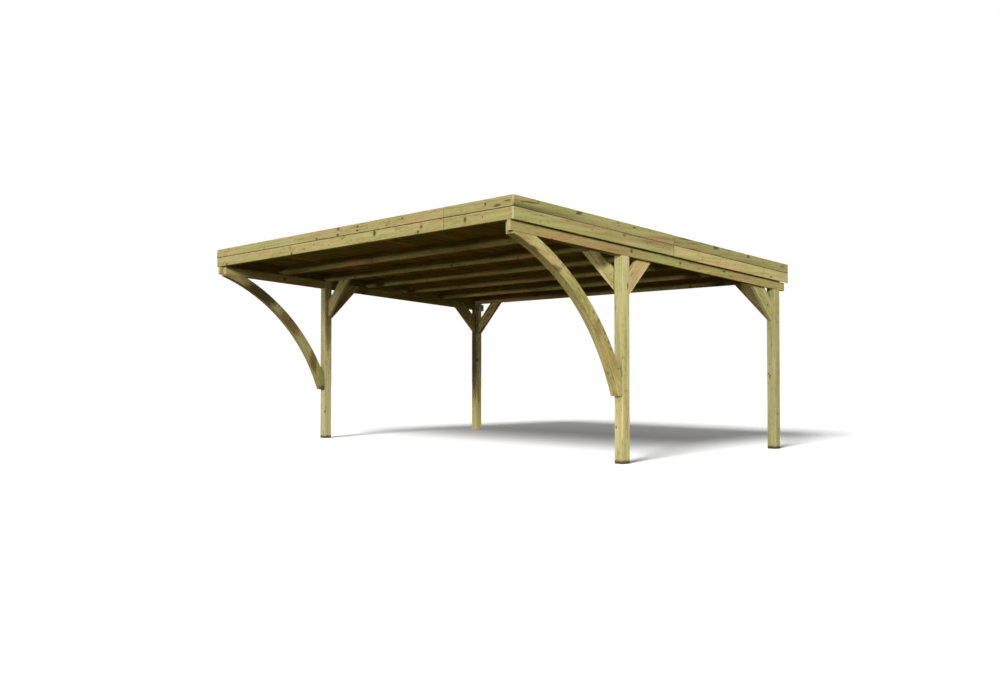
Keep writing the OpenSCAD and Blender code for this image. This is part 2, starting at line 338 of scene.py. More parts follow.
def timber(cad_node, along, material, ease, tint=(0.2, 0.6), tone=(0.93, 1.05),
           joint=None, inset=(0.0, 0.0, 0.0), place=None, darkening=None):
    """Timber cut to a CAD node's solids, with eased edges. Each solid gets a place of its own
    in a log as the attribute grain, a tint from olive, 0, to warm, 1, and a tone, 1 as is.
    Faces across the grain get the attribute sawn. place gives a point's place along a curved
    grain, and darkening how dark a point is drawn by a joint."""
    name = f"{cad_node}_timber"
    draw = random.Random(name)
    shape = cut_board(cad_node, joint, inset)
    edges = [e for e in shape.edges if len(e.link_faces) == 2 and e.calc_face_angle() > EASE_ABOVE]
    bmesh.ops.bevel(shape, geom=edges, offset=ease, segments=2, profile=0.5,
                    affect="EDGES", clamp_overlap=True)
    shape.verts.index_update()
    grain = [None] * len(shape.verts)
    tints = [0.0] * len(shape.verts)
    tones = [1.0] * len(shape.verts)
    fibre = Vector(along).normalized()
    aside = (fibre.cross(Vector((0, 0, 1))) if abs(fibre.z) < 0.9 else Vector((1, 0, 0))).normalized()
    across = fibre.cross(aside)
    for solid in islands(shape):
        middle = sum((v.co for v in solid), Vector()) / len(solid)
        pith = draw.uniform(0, 2 * math.pi)
        deep = draw.uniform(0.07, 0.15)
        start = Vector((draw.uniform(0, 40), deep * math.cos(pith), deep * math.sin(pith)))
        own_tint = draw.uniform(*tint)
        own_tone = draw.uniform(*tone)
        for v in solid:
            off = v.co - middle
            own = place(v.co) if place else Vector((off.dot(fibre), off.dot(aside), off.dot(across)))
            grain[v.index] = own + start
            tints[v.index] = own_tint
            tones[v.index] = own_tone
    mesh = bpy.data.meshes.new(name)
    shape.to_mesh(mesh)
    shape.free()
    store(mesh, "grain", "FLOAT_VECTOR", "POINT", grain)
    store(mesh, "tint", "FLOAT", "POINT", tints)
    store(mesh, "tone", "FLOAT", "POINT", tones)
    if darkening:
        store(mesh, "near_joint", "FLOAT", "POINT", [darkening(v.co) for v in mesh.vertices])
    if not place:
        store(mesh, "sawn", "FLOAT", "FACE",
              [1.0 if abs(f.normal.dot(fibre)) > 0.9 else 0.0 for f in mesh.polygons])
    mesh.shade_smooth()
    mesh.set_sharp_from_angle(angle=SHARP_ABOVE)
    mesh.materials.append(material)
    piece = new_object(name, mesh)
    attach(piece, "root")
    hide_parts(cad_node)


# knots, streaks, stains, painted shade and painted light of single pieces: each one's place, half sizes,
# colour, strength
# the dark and the brown stain colour also paint shade, on the marks below that say so
DARK_KNOT, DARK_STREAK, DARK_STAIN_AND_SHADE, BROWN_STAIN_AND_SHADE = "#33270B", "#5A4A1C", "#2E1F03", "#5E4210"
DEEP_BROWN = "#3A2F10"
POST_MARKS = (
    ((2.880, -0.713, 1.884), (0.010, 0.012, 0.038), DARK_KNOT, 0.95),
    ((2.787, -0.800, 0.383), (0.010, 0.010, 0.018), DARK_KNOT, 0.90),
    ((-2.765, -0.795, 0.390), (0.012, 0.012, 0.022), DARK_KNOT, 0.90),
    ((-2.800, -0.800, 0.050), (0.007, 0.010, 0.060), DARK_KNOT, 0.80),
    ((2.783, 2.195, 0.950), (0.012, 0.010, 0.016), DARK_KNOT, 0.75),
    ((2.806, 2.195, 0.915), (0.016, 0.010, 0.028), FLECK_BROWN, 0.60),
    # painted shadow of the brace on the inner face of the front left post
    ((-2.765, -0.742, 1.620), (0.014, 0.060, 0.360), BROWN_STAIN_AND_SHADE, 0.70),
    ((0.0, 0.0, 0.0), (12.0, 12.0, 0.040), DEEP_BROWN, 0.90),       # darker at the feet of all four
)
post_spruce = treated_spruce("treated_spruce_post", POST_PALE, POST_DARK, warm=POST_WARM,
                             knots=0.6, marks=POST_MARKS)
# the timber at the back left corner is drawn darker and streakier: partly a darker log, partly painted
# shade of the deep corner under the roof
DARK_SHADED_LOG_PALE, DARK_SHADED_LOG_DARK = "#C4B676", "#5A4C20"
DARK_SHADED_LOG_MARKS = (
    ((-2.800, 2.200, 0.120), (0.200, 0.200, 0.420), "#A89F69", 0.70),       # painted light on the foot, which is lit below the roof's shade
    # painted shade on the upper front face of the back left post
    ((-2.823, 2.195, 1.350), (0.080, 0.014, 0.800), DARK_STAIN_AND_SHADE, 0.93),
    ((-2.765, 2.230, 1.150), (0.012, 0.014, 0.350), DEEP_BROWN, 0.35),
)
dark_shaded_spruce = treated_spruce("treated_spruce_dark_log_painted_shade", DARK_SHADED_LOG_PALE, DARK_SHADED_LOG_DARK, contrast=1.7,
                             flecked=2.4, marks=DARK_SHADED_LOG_MARKS)
CORNER_TONE = {"front_left": 0.80, "front_right": 0.99, "back_left": 1.08, "back_right": 0.72}
for corner, tone in CORNER_TONE.items():
    timber(f"{corner}_post", (0, 0, 1), dark_shaded_spruce if corner == "back_left" else post_spruce,
           POST_EASE, tint=(0.1, 0.35), tone=(tone, tone))


# ---------------------------------------------------------------- beams
# A side beam of treated spruce lies in the notches of each pair of posts, and a
# plank of the same depth doubles it above the arch. Both are screwed together
# from inside.
BEAM_EASE = 0.004
BEAM_PALE, BEAM_DARK, BEAM_WARM = "#A99C65", "#7E703E", "#AE8456"

BEAM_MARKS = (
    ((2.880, 1.079, 2.163), (0.010, 0.035, 0.012), DARK_KNOT, 0.90),
    ((2.880, -1.250, 2.275), (0.010, 0.550, 0.032), "#A67A56", 0.50),       # reddish heartwood
    ((2.880, -0.950, 2.245), (0.010, 0.180, 0.018), "#8A5E40", 0.45),
)
beam_spruce = treated_spruce("treated_spruce_beam", BEAM_PALE, BEAM_DARK, warm=BEAM_WARM,
                             marks=BEAM_MARKS)
for side in ("left", "right"):
    timber(f"{side}_beam", (0, 1, 0), beam_spruce, BEAM_EASE, tint=(0.2, 0.35))
    timber(f"{side}_arch_plank", (0, 1, 0), beam_spruce, BEAM_EASE)


# ---------------------------------------------------------------- arches
# Two arches glued up from spruce lamellas and planed, so the grain follows the
# curve. They run from the front of a beam down to the front post, and only
# trim the entrance.
ARCH_EASE = 0.006
ARCH_RADIUS = 2.52        # of the hollow edge
ARCH_PALE, ARCH_DARK = "#D2C688", "#93844A"
# painted shade: the left arch is drawn darker, for the shade of the roof over it; 1 is as is
ARCH_PAINTED_SHADE = {"left": 0.66, "right": 1.0}

ARCH_MARKS = (
    ((2.880, -2.168, 2.152), (0.020, 0.110, 0.035), "#4C3E16", 0.85),
    ((2.880, -1.848, 1.982), (0.020, 0.110, 0.045), "#4C3E16", 0.75),
    ((2.880, -1.690, 1.805), (0.020, 0.060, 0.060), "#4C3E16", 0.70),
    ((2.880, -1.194, 1.402), (0.020, 0.050, 0.160), "#7C5A3C", 0.45),
    # painted shade on the upper part of the left arch, under the roof
    ((-2.765, -1.841, 2.070), (0.050, 0.300, 0.220), DARK_STAIN_AND_SHADE, 0.88),
    ((-2.765, -1.400, 1.660), (0.050, 0.180, 0.300), BROWN_STAIN_AND_SHADE, 0.70),
    ((-2.765, -1.000, 1.100), (0.050, 0.060, 0.250), BROWN_STAIN_AND_SHADE, 0.70),
    ((-2.765, -0.830, 0.735), (0.080, 0.060, 0.045), DARK_STAIN_AND_SHADE, 0.75),
    ((0.000, -0.830, 0.712), (3.200, 0.120, 0.012), DARK_STAIN_AND_SHADE, 0.85),       # painted shade on the undersides of the arches' lower ends
)
arch_spruce = treated_spruce("glued_spruce_arch", ARCH_PALE, ARCH_DARK, contrast=1.35,
                             flecked=2.0, marks=ARCH_MARKS)

# both arches lie on one circle, seen from the side, through the tip and the foot
arch_low, arch_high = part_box("left_arch")
tip = Vector((0, arch_low.y, arch_high.z))
foot = Vector((0, arch_high.y, arch_low.z))
chord = foot - tip
inward = Vector((0, chord.z, -chord.y)).normalized()
arch_middle = (tip + foot) / 2 + inward * math.sqrt(ARCH_RADIUS ** 2 - (chord.length / 2) ** 2)


def on_the_curve(point):
    """Along the curve, out from the arch's hollow edge, and across its thickness."""
    arm = Vector((point.y - arch_middle.y, point.z - arch_middle.z))
    return Vector((ARCH_RADIUS * math.atan2(arm.y, arm.x), arm.length - ARCH_RADIUS, point.x))


for side, tone in ARCH_PAINTED_SHADE.items():
    timber(f"{side}_arch", (0, 0, 1), arch_spruce, ARCH_EASE, tint=(0.2, 0.4),
           tone=(tone, tone), place=on_the_curve)


# ---------------------------------------------------------------- knee braces
# Eight short braces of the same spruce, mitred at both ends: four in line with
# the beams and four across to the rafters over the posts, fixed with long
# screws through their lower edges.
BRACE_EASE = 0.004
BRACE_PALE, BRACE_DARK = "#D8CD94", "#B4A96B"
RIGHT_CROSS_PAINTED_LIGHT = 1.2        # painted light: the two cross braces on the right are drawn paler, as if lit under the roof

brace_spruce = treated_spruce("treated_spruce_brace", BRACE_PALE, BRACE_DARK)
for corner, corner_tone in CORNER_TONE.items():
    post_low, post_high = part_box(f"{corner}_post")
    on_right = corner.endswith("right")
    for kind in ("side", "cross"):
        low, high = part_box(f"{corner}_{kind}_brace")
        # each brace leans away from its post
        if kind == "side":
            along = (0, 1 if low.y + high.y > post_low.y + post_high.y else -1, 1)
            tone = corner_tone
        else:
            along = (-1 if on_right else 1, 0, 1)
            # painted light on the cross braces on the right
            tone = corner_tone * RIGHT_CROSS_PAINTED_LIGHT if on_right else corner_tone
        # the back left braces take the darker timber, partly painted shade
        timber(f"{corner}_{kind}_brace", along,
               dark_shaded_spruce if corner == "back_left" else brace_spruce,
               BRACE_EASE, tone=(tone, tone))


# ---------------------------------------------------------------- rafters
# Rafters of sawn and planed spruce on edge, across from beam to beam, with one
# over each pair of posts and one behind each fascia.
RAFTER_EASE = 0.003
# painted shade: the rafters are drawn far darker than the same spruce elsewhere, for the shade under the
# roof
RAFTER_SHADED_PALE, RAFTER_SHADED_DARK = "#887842", "#5C4C22"

shaded_rafter_spruce = treated_spruce("treated_spruce_rafter_painted_shade", RAFTER_SHADED_PALE, RAFTER_SHADED_DARK)
for rafter in ("front_edge_rafter", "front_bay_rafter", "front_post_rafter", "bay_rafters",
               "back_post_rafter", "back_edge_rafter"):
    timber(rafter, (1, 0, 0), shaded_rafter_spruce, RAFTER_EASE)


# ---------------------------------------------------------------- roof boarding
# Tongued and grooved spruce boards, nailed side by side over the rafters and
# running with the fall. From below their edges show as small V joints.
BOARD_FACE = 0.121
BOARD_V = 0.004
BOARD_GAP = 0.0003         # half the gap between two boards
# painted shade: the boards are drawn far darker than the same spruce elsewhere, for the shade under the
# roof
BOARDING_SHADED_PALE, BOARDING_SHADED_DARK = "#857239", "#58471D"
# where a board lies in its log: along it, aside and out from its pith, at the least and most
BOARD_LOG_FROM, BOARD_LOG_TO = (0.0, -0.03, 0.06), (40.0, 0.03, 0.13)
BOARD_TINT, BOARD_TONE = (0.2, 0.8), (0.8, 1.1)

shaded_boarding_spruce = treated_spruce("treated_spruce_boarding", BOARDING_SHADED_PALE, BOARDING_SHADED_DARK)
deck_low, deck_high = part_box("roof_deck")
board_count = round((deck_high.x - deck_low.x) / BOARD_FACE)
board_pitch = (deck_high.x - deck_low.x) / board_count
deck_points = [v.co.copy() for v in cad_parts["roof_deck"].data.vertices]
deck_front = sorted({round(p.z, 5) for p in deck_points if p.y < 0})
deck_back = sorted({round(p.z, 5) for p in deck_points if p.y > 0})

# one board: its outline from below to above, drawn at the front and the back end
board = bmesh.new()
ends = []
for y, (under, over) in ((deck_low.y, (deck_front[0], deck_front[-1])),
                         (deck_high.y, (deck_back[0], deck_back[-1]))):
    outline = [(BOARD_V, under), (board_pitch - BOARD_V, under),
               (board_pitch - BOARD_GAP, under + BOARD_V), (board_pitch - BOARD_GAP, over),
               (BOARD_GAP, over), (BOARD_GAP, under + BOARD_V)]
    ends.append([board.verts.new((deck_low.x + px, y, pz)) for px, pz in outline])
front_end, back_end = ends
for i in range(len(front_end)):
    j = (i + 1) % len(front_end)
    board.faces.new((front_end[i], back_end[i], back_end[j], front_end[j]))
board.faces.new(front_end)
board.faces.new(back_end[::-1])
bmesh.ops.recalc_face_normals(board, faces=board.faces[:])
board_mesh = bpy.data.meshes.new("roof_board")
board.to_mesh(board_mesh)
board.free()


def start_tree(name, sizes):
    """A Geometry Nodes tree that takes a geometry and these named sizes. It gives the tree,
    the identifier of each size's socket, and the outputs of the group's input."""
    tree = bpy.data.node_groups.new(name, "GeometryNodeTree")
    tree.interface.new_socket("Geometry", in_out="INPUT", socket_type="NodeSocketGeometry")
    sockets = {}
    for label, kind in sizes:
        sockets[label] = tree.interface.new_socket(label, in_out="INPUT", socket_type=kind).identifier
    tree.interface.new_socket("Geometry", in_out="OUTPUT", socket_type="NodeSocketGeometry")
    return tree, sockets, add(tree, "NodeGroupInput", out=None).outputs


def as_plain_mesh(source, name):
    """The evaluated result of an object's modifiers as a new plain object; the source goes."""
    graph = bpy.context.evaluated_depsgraph_get()
    mesh = bpy.data.meshes.new_from_object(source.evaluated_get(graph), depsgraph=graph)
    mesh.name = name
    plain = new_object(name, mesh)
    bpy.data.objects.remove(source)
    return plain


def made_by(tree, sockets, values, source_mesh, name):
    """What the tree makes of a mesh at these sizes, as a plain object."""
    source = new_object(f"{name}_source", source_mesh)
    rule = source.modifiers.new(tree.name, "NODES")
    rule.node_group = tree
    for label, value in values.items():
        rule[sockets[label]] = value
    return as_plain_mesh(source, name)


laying, laying_sockets, given = start_tree("roof_board_laying", (
    ("Boards", "NodeSocketInt"), ("Pitch", "NodeSocketFloat"), ("First edge", "NodeSocketFloat"),
    ("Seed", "NodeSocketInt")))
one_pitch = add(laying, "ShaderNodeCombineXYZ", {0: given["Pitch"]})
row = add(laying, "GeometryNodeMeshLine", {"Count": given["Boards"], "Offset": one_pitch}, mode="OFFSET")
laid = add(laying, "GeometryNodeInstanceOnPoints", {"Points": row, "Instance": given["Geometry"]})
numbered = add(laying, "GeometryNodeStoreNamedAttribute", {
    "Geometry": laid, "Name": "board", "Value": add(laying, "GeometryNodeInputIndex")},
    data_type="FLOAT", domain="INSTANCE")
real = add(laying, "GeometryNodeRealizeInstances", {"Geometry": numbered})
number = add(laying, "GeometryNodeInputNamedAttribute", {"Name": "board"}, data_type="FLOAT")

# each board's grain: its place in its own log, from where the point is on the board
in_log = add(laying, "FunctionNodeRandomValue", {
    0: BOARD_LOG_FROM, 1: BOARD_LOG_TO, "ID": number, "Seed": given["Seed"]}, data_type="FLOAT_VECTOR")
point = add(laying, "ShaderNodeSeparateXYZ", {0: add(laying, "GeometryNodeInputPosition")}, out=None)
edge = add(laying, "ShaderNodeMath", {0: number, 1: given["Pitch"], 2: given["First edge"]},
           operation="MULTIPLY_ADD")
across = add(laying, "ShaderNodeMath", {0: point.outputs[0], 1: edge}, operation="SUBTRACT")
own = add(laying, "ShaderNodeCombineXYZ", {0: point.outputs[1], 1: across})
grain_place = add(laying, "ShaderNodeVectorMath", {0: own, 1: in_log}, operation="ADD")
marked = add(laying, "GeometryNodeStoreNamedAttribute", {
    "Geometry": real, "Name": "grain", "Value": grain_place}, data_type="FLOAT_VECTOR", domain="POINT")
for label, (least, most) in (("tint", BOARD_TINT), ("tone", BOARD_TONE)):
    value = add(laying, "FunctionNodeRandomValue", {
        2: least, 3: most, "ID": number, "Seed": given["Seed"]}, out=1, data_type="FLOAT")
    marked = add(laying, "GeometryNodeStoreNamedAttribute", {
        "Geometry": marked, "Name": label, "Value": value}, data_type="FLOAT", domain="POINT")
finished = add(laying, "GeometryNodeSetMaterial", {"Geometry": marked, "Material": shaded_boarding_spruce})
add(laying, "NodeGroupOutput", {"Geometry": finished}, out=None)

roof_boards = made_by(laying, laying_sockets, {
    "Boards": board_count, "Pitch": board_pitch, "First edge": deck_low.x + board_pitch / 2,
    "Seed": 4}, board_mesh, "roof_boards")
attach(roof_boards, "root")
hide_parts("roof_deck")


# ---------------------------------------------------------------- fascia
# Two rows of planed spruce boards on edge close the roof tray on all sides. The
# long runs are butted end to end, and the side boards cover the ends of the
# front and back ones.
FASCIA_EASE = 0.0045
FASCIA_PALE, FASCIA_DARK, FASCIA_WARM = "#C2B67C", "#94874E", "#BF9F72"
FASCIA_THICK = 0.020
FASCIA_CROWN = 0.0004      # the boards' faces stand back this much for the screw heads
FASCIA_GAP = 0.0015        # half the open joint between the two rows
BUTT_GAP = 0.001           # half the open joint between two lengths
FASCIA_TONE = {"front upper": 0.82, "front lower": 0.85, "back upper": 0.92, "back lower": 0.95,
               "side upper front": 0.84, "side upper back": 0.80,
               "side lower front": 0.90, "side lower back": 1.05}
END_VARIES, SIDE_VARIES = 0.03, 0.02       # how far the tone of single boards varies
FRONT_JOINT_X = 1.905      # where the two lengths of the front fascia meet

FASCIA_MARKS = (
    ((-0.438, -2.445, 2.553), (0.030, 0.010, 0.013), DARK_KNOT, 0.90),
    ((0.003, -2.445, 2.554), (0.030, 0.010, 0.013), DARK_KNOT, 0.90),
    ((0.401, -2.445, 2.612), (0.020, 0.010, 0.010), DARK_KNOT, 0.85),
    ((0.395, -2.445, 2.566), (0.024, 0.010, 0.012), DARK_KNOT, 0.90),
    ((0.944, -2.445, 2.560), (0.018, 0.010, 0.009), DARK_KNOT, 0.75),
    ((2.706, -2.445, 2.562), (0.060, 0.010, 0.014), DARK_STREAK, 0.90),
    ((2.844, -2.445, 2.592), (0.055, 0.010, 0.009), DARK_STREAK, 0.85),
    ((2.925, -2.220, 2.590), (0.010, 0.130, 0.009), DARK_STREAK, 0.80),
    ((2.925, -1.528, 2.564), (0.010, 0.050, 0.016), DARK_STREAK, 0.90),
    ((2.925, -0.653, 2.507), (0.010, 0.028, 0.010), DARK_KNOT, 0.80),
    ((2.925, 0.260, 2.469), (0.010, 0.130, 0.014), "#5C5A1E", 0.85),   # bark edge left on
    ((2.925, 0.600, 2.450), (0.010, 0.120, 0.009), "#5C5A1E", 0.70),
    ((2.925, 0.848, 2.424), (0.010, 0.060, 0.024), DARK_STREAK, 0.85),
    ((2.925, 0.300, 2.392), (0.010, 0.320, 0.026), "#AFA268", 0.80),   # paler sapwood
    ((2.925, 0.750, 2.365), (0.010, 0.320, 0.026), "#AFA268", 0.80),
    ((2.925, 1.200, 2.337), (0.010, 0.320, 0.024), "#AFA268", 0.70),
    ((2.925, 2.312, 2.311), (0.010, 0.055, 0.020), "#6A6A2C", 0.70),
    ((2.925, 2.041, 2.160), (0.010, 0.040, 0.010), DARK_KNOT, 0.85),
    ((2.925, -0.381, 2.373), (0.010, 0.034, 0.008), DARK_KNOT, 0.80),
    ((2.925, -0.240, 2.405), (0.010, 0.300, 0.060), "#A27E58", 0.55),
    ((2.925, -1.350, 2.455), (0.010, 0.450, 0.040), "#A8865C", 0.40),
)
fascia_spruce = treated_spruce("treated_spruce_fascia", FASCIA_PALE, FASCIA_DARK, warm=FASCIA_WARM,
                               pale_end=0.55, marks=FASCIA_MARKS)
tray_low, tray_high = cad_box
# the darkened line falls a little less than the tray, so towards the back it creeps over the joint
joint_line_fall = (tray_high.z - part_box("back_upper_fascia")[1].z) / (tray_high.y - tray_low.y)
row_joint = tray_high.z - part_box("front_lower_fascia")[1].z
side_joint_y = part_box("right_upper_front_board")[1].y


def joint_darkness(point):
    """How dark the boards are drawn in the joints between the rows and between two lengths."""
    down = tray_high.z - joint_line_fall * (point.y - tray_low.y) - point.z
    to_rows = abs(down - row_joint) - FASCIA_GAP
    if abs(point.x) > tray_high.x - FASCIA_THICK:
        to_butt = abs(point.y - side_joint_y)
    else:
        to_butt = abs(point.x - math.copysign(FRONT_JOINT_X, -point.y))
    near = min(to_rows, to_butt - BUTT_GAP)
    return min(1.0, max(0.0, 1.0 - near / FASCIA_EASE))


for row in ("upper", "lower"):
    for end in ("front", "back"):
        tone = FASCIA_TONE[f"{end} {row}"]
        timber(f"{end}_{row}_fascia", (1, 0, 0), fascia_spruce, FASCIA_EASE,
               tint=(0.2, 0.5), tone=(tone - END_VARIES, tone + END_VARIES),
               joint=(FRONT_JOINT_X if end == "front" else -FRONT_JOINT_X, BUTT_GAP),
               inset=(0.0, FASCIA_CROWN, FASCIA_GAP), darkening=joint_darkness)
        tone = FASCIA_TONE[f"side {row} {end}"]
        for side in ("left", "right"):
            timber(f"{side}_{row}_{end}_board", (0, 1, 0), fascia_spruce,
                   FASCIA_EASE, tint=(0.1, 0.35), tone=(tone - SIDE_VARIES, tone + SIDE_VARIES),
                   inset=(FASCIA_CROWN, BUTT_GAP, FASCIA_GAP), darkening=joint_darkness)


# ---------------------------------------------------------------- roofing sheet
# One sheet of EPDM rubber, glued to the boarding and turned up inside the
# fascia. It lies nearly flat, with low ripples where the glue has let go.
SHEET_THICK = 0.003
COVE = 0.030               # radius of the turn from the flat up the fascia's inside
COVE_STEPS = 5
FLAT_CELLS = 72
RIPPLE = 0.00198
CALM_EDGE = 0.4            # the ripples die away over this distance from the upstands
RUBBER_BLACK, RUBBER_DUST = "#2B2D2E", "#4A4A46"

# rolled EPDM rubber: matt, nearly black, with dust in patches 0.8 m across that greys it
# and a grain of 6 mm, coarser than the real one so that it shows
rubber, t = new_material("epdm_rubber_sheet")
where = add(t, "ShaderNodeTexCoord", out="Object")
dust = add(t, "ShaderNodeTexNoise", {"Vector": where, "Scale": 1.3, "Detail": 6.0, "Roughness": 0.6},
           out="Fac")
speckle = add(t, "ShaderNodeTexNoise", {"Vector": where, "Scale": 160.0, "Detail": 3.0}, out="Fac")
dusty = add(t, "ShaderNodeMapRange", {"Value": dust, "From Min": 0.42, "From Max": 0.68,
                                      "To Min": 0.05, "To Max": 0.5})
rubber_colour = add(t, "ShaderNodeMix", {0: dusty, 6: linear(RUBBER_BLACK), 7: linear(RUBBER_DUST)},
                    out=2, data_type="RGBA")
rubber_bump = add(t, "ShaderNodeBump", {"Height": speckle, "Strength": 0.4, "Distance": 0.0006})
rubber_rough = add(t, "ShaderNodeMapRange", {"Value": dust, "From Min": 0.3, "From Max": 0.7,
                                             "To Min": 0.80, "To Max": 0.88})
rubber_shader = add(t, "ShaderNodeBsdfPrincipled", {
    "Base Color": rubber_colour, "Roughness": rubber_rough, "IOR": 1.52,
    "Specular IOR Level": 0.25, "Normal": rubber_bump})
add(t, "ShaderNodeOutputMaterial", {"Surface": rubber_shader}, out=None)

sheet_low, sheet_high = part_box("roof_sheet")
sheet_points = [v.co.copy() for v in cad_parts["roof_sheet"].data.vertices]
front_z = max(p.z for p in sheet_points if p.y < 0)
back_z = max(p.z for p in sheet_points if p.y > 0)
tray_fall = (front_z - back_z) / (sheet_high.y - sheet_low.y)
tray_depth = deck_front[-1] - sheet_high.z      # from the rim down to the boarding, at the front


def sheet_row(half):
    """Places across the tray and how far each is lifted, from one upstand to the other."""
    wall = half - SHEET_THICK
    flat = wall - COVE
    level = [(-flat + 2 * flat * i / FLAT_CELLS, 0.0) for i in range(FLAT_CELLS + 1)]
    turns = [math.radians(90 / COVE_STEPS * k) for k in range(1, COVE_STEPS + 1)]
    upstand = [(flat + COVE * math.sin(a), COVE * (1 - math.cos(a))) for a in turns]
    upstand.append((wall, -tray_depth - SHEET_THICK))
    return [(-p, lift) for p, lift in reversed(upstand)] + level + upstand


def ripple(x, y):
    """Low, slow waves of the sheet, in metres."""
    wave = (math.sin(1.9 * x + 0.7 * math.sin(1.1 * y)) * math.sin(1.3 * y + 0.5 * x)
            + 0.5 * math.sin(4.3 * x - 1.7 * y) * math.sin(3.1 * y))
    return RIPPLE * max(0.0, wave)


row_x = sheet_row((sheet_high.x - sheet_low.x) / 2)
row_y = sheet_row((sheet_high.y - sheet_low.y) / 2)
sheet = bmesh.new()
grid = []
for y, lift_y in row_y:
    base = deck_front[-1] + SHEET_THICK - tray_fall * (y - sheet_low.y)
    line = []
    for x, lift_x in row_x:
        lift = max(lift_x, lift_y)
        if lift == 0.0:
            to_wall = min(row_x[-1][0] - abs(x), row_y[-1][0] - abs(y))
            lift = ripple(x, y) * min(1.0, to_wall / CALM_EDGE)
        line.append(sheet.verts.new((x, y, base + lift)))
    grid.append(line)
for near, far in zip(grid, grid[1:]):
    for i in range(len(near) - 1):
        sheet.faces.new((near[i], near[i + 1], far[i + 1], far[i]))
bmesh.ops.remove_doubles(sheet, verts=sheet.verts[:], dist=SAME_POINT)
bmesh.ops.recalc_face_normals(sheet, faces=sheet.faces[:])
if sum(f.normal.z for f in sheet.faces) < 0:
    bmesh.ops.reverse_faces(sheet, faces=sheet.faces[:])
sheet_mesh = bpy.data.meshes.new("roof_rubber_source")
sheet.to_mesh(sheet_mesh)
sheet.free()
sheet_mesh.shade_smooth()
sheet_mesh.materials.append(rubber)
sheet_source = new_object("roof_rubber_source", sheet_mesh)
thick = sheet_source.modifiers.new("thickness", "SOLIDIFY")
thick.thickness = SHEET_THICK
thick.offset = -1.0
roof_rubber = as_plain_mesh(sheet_source, "roof_rubber")
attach(roof_rubber, "root")
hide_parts("roof_sheet")


# ---------------------------------------------------------------- screws
# Countersunk screws of stainless steel hold the fascia boards, two in each board
# at each rafter end and at each half metre of the front and the back. Their
# heads sit flush, with a drive socket.
HEAD = 0.009
HEAD_CROWN = 0.00035       # how far a head stands proud of the board
HEAD_SIDES = 14
UPPER_SCREWS = (0.030, 0.082)      # how far below the roof's edge each row of screws is
LOWER_SCREWS = (0.140, 0.205)
BACK_LOWER_SCREWS = (0.135, 0.185)
COLUMNS = 12               # of screws along the front and the back
FROM_CORNER = 0.075        # from the roof's corner to the first column
STEEL_DARK, STEEL_BRIGHT = "#8C8A80", "#B5B2A6"

# turned stainless steel: a soft shine, broken up by tool marks about a millimetre apart
steel, t = new_material("stainless_steel_screw")
where = add(t, "ShaderNodeTexCoord", out="Object")
turned = add(t, "ShaderNodeTexNoise", {"Vector": where, "Scale": 900.0, "Detail": 2.0}, out="Fac")
steel_colour = add(t, "ShaderNodeMix", {0: turned, 6: linear(STEEL_DARK), 7: linear(STEEL_BRIGHT)},
                   out=2, data_type="RGBA")
steel_rough = add(t, "ShaderNodeMapRange", {"Value": turned, "To Min": 0.32, "To Max": 0.5})
steel_bump = add(t, "ShaderNodeBump", {"Height": turned, "Strength": 0.2, "Distance": 0.0001})
steel_shader = add(t, "ShaderNodeBsdfPrincipled", {
    "Base Color": steel_colour, "Metallic": 1.0, "Roughness": steel_rough, "Normal": steel_bump})
add(t, "ShaderNodeOutputMaterial", {"Surface": steel_shader}, out=None)

# one head: a short cone, with its top face drawn in and sunk to make the socket
driving, driving_sockets, given = start_tree("screw_driving", (
    ("Head", "NodeSocketFloat"), ("Crown", "NodeSocketFloat"), ("Seed", "NodeSocketInt")))
half_head = add(driving, "ShaderNodeMath", {0: given["Head"], 1: 0.5}, operation="MULTIPLY")
neck = add(driving, "ShaderNodeMath", {0: given["Head"], 1: 0.25}, operation="MULTIPLY")
cone = add(driving, "GeometryNodeMeshCone", {"Vertices": HEAD_SIDES, "Radius Top": half_head,
                                             "Radius Bottom": neck, "Depth": neck}, out=None)
shelf = add(driving, "GeometryNodeExtrudeMesh", {
    "Mesh": cone.outputs["Mesh"], "Selection": cone.outputs["Top"], "Offset Scale": 0.0},
    out=None, mode="FACES")
socket_rim = add(driving, "GeometryNodeScaleElements", {
    "Geometry": shelf.outputs["Mesh"], "Selection": shelf.outputs["Top"], "Scale": 0.5}, domain="FACE")
socket_deep = add(driving, "ShaderNodeMath", {0: neck, 1: -0.8}, operation="MULTIPLY")
screw = add(driving, "GeometryNodeExtrudeMesh", {
    "Mesh": socket_rim, "Selection": shelf.outputs["Top"], "Offset Scale": socket_deep}, mode="FACES")
sunk = add(driving, "ShaderNodeMath", {0: given["Crown"], 1: neck}, operation="SUBTRACT")
sunk_by = add(driving, "ShaderNodeCombineXYZ", {2: sunk})
seated = add(driving, "GeometryNodeTransform", {"Geometry": screw, "Translation": sunk_by})

# each one faces out of its board, turned to where the driver left it
outward = add(driving, "GeometryNodeInputNamedAttribute", {"Name": "out"}, data_type="FLOAT_VECTOR")
facing = add(driving, "FunctionNodeAlignRotationToVector", {"Vector": outward}, axis="Z")
spin = add(driving, "FunctionNodeRandomValue", {2: 0.0, 3: 6.283, "Seed": given["Seed"]},
           out=1, data_type="FLOAT")
spin_axis = add(driving, "ShaderNodeCombineXYZ", {2: spin})
turned_in = add(driving, "FunctionNodeRotateRotation", {"Rotation": facing, "Rotate By": spin_axis},
                rotation_space="LOCAL")
driven = add(driving, "GeometryNodeInstanceOnPoints", {
    "Points": given["Geometry"], "Instance": seated, "Rotation": turned_in})
real = add(driving, "GeometryNodeRealizeInstances", {"Geometry": driven})
finished = add(driving, "GeometryNodeSetMaterial", {"Geometry": real, "Material": steel})
add(driving, "NodeGroupOutput", {"Geometry": finished}, out=None)


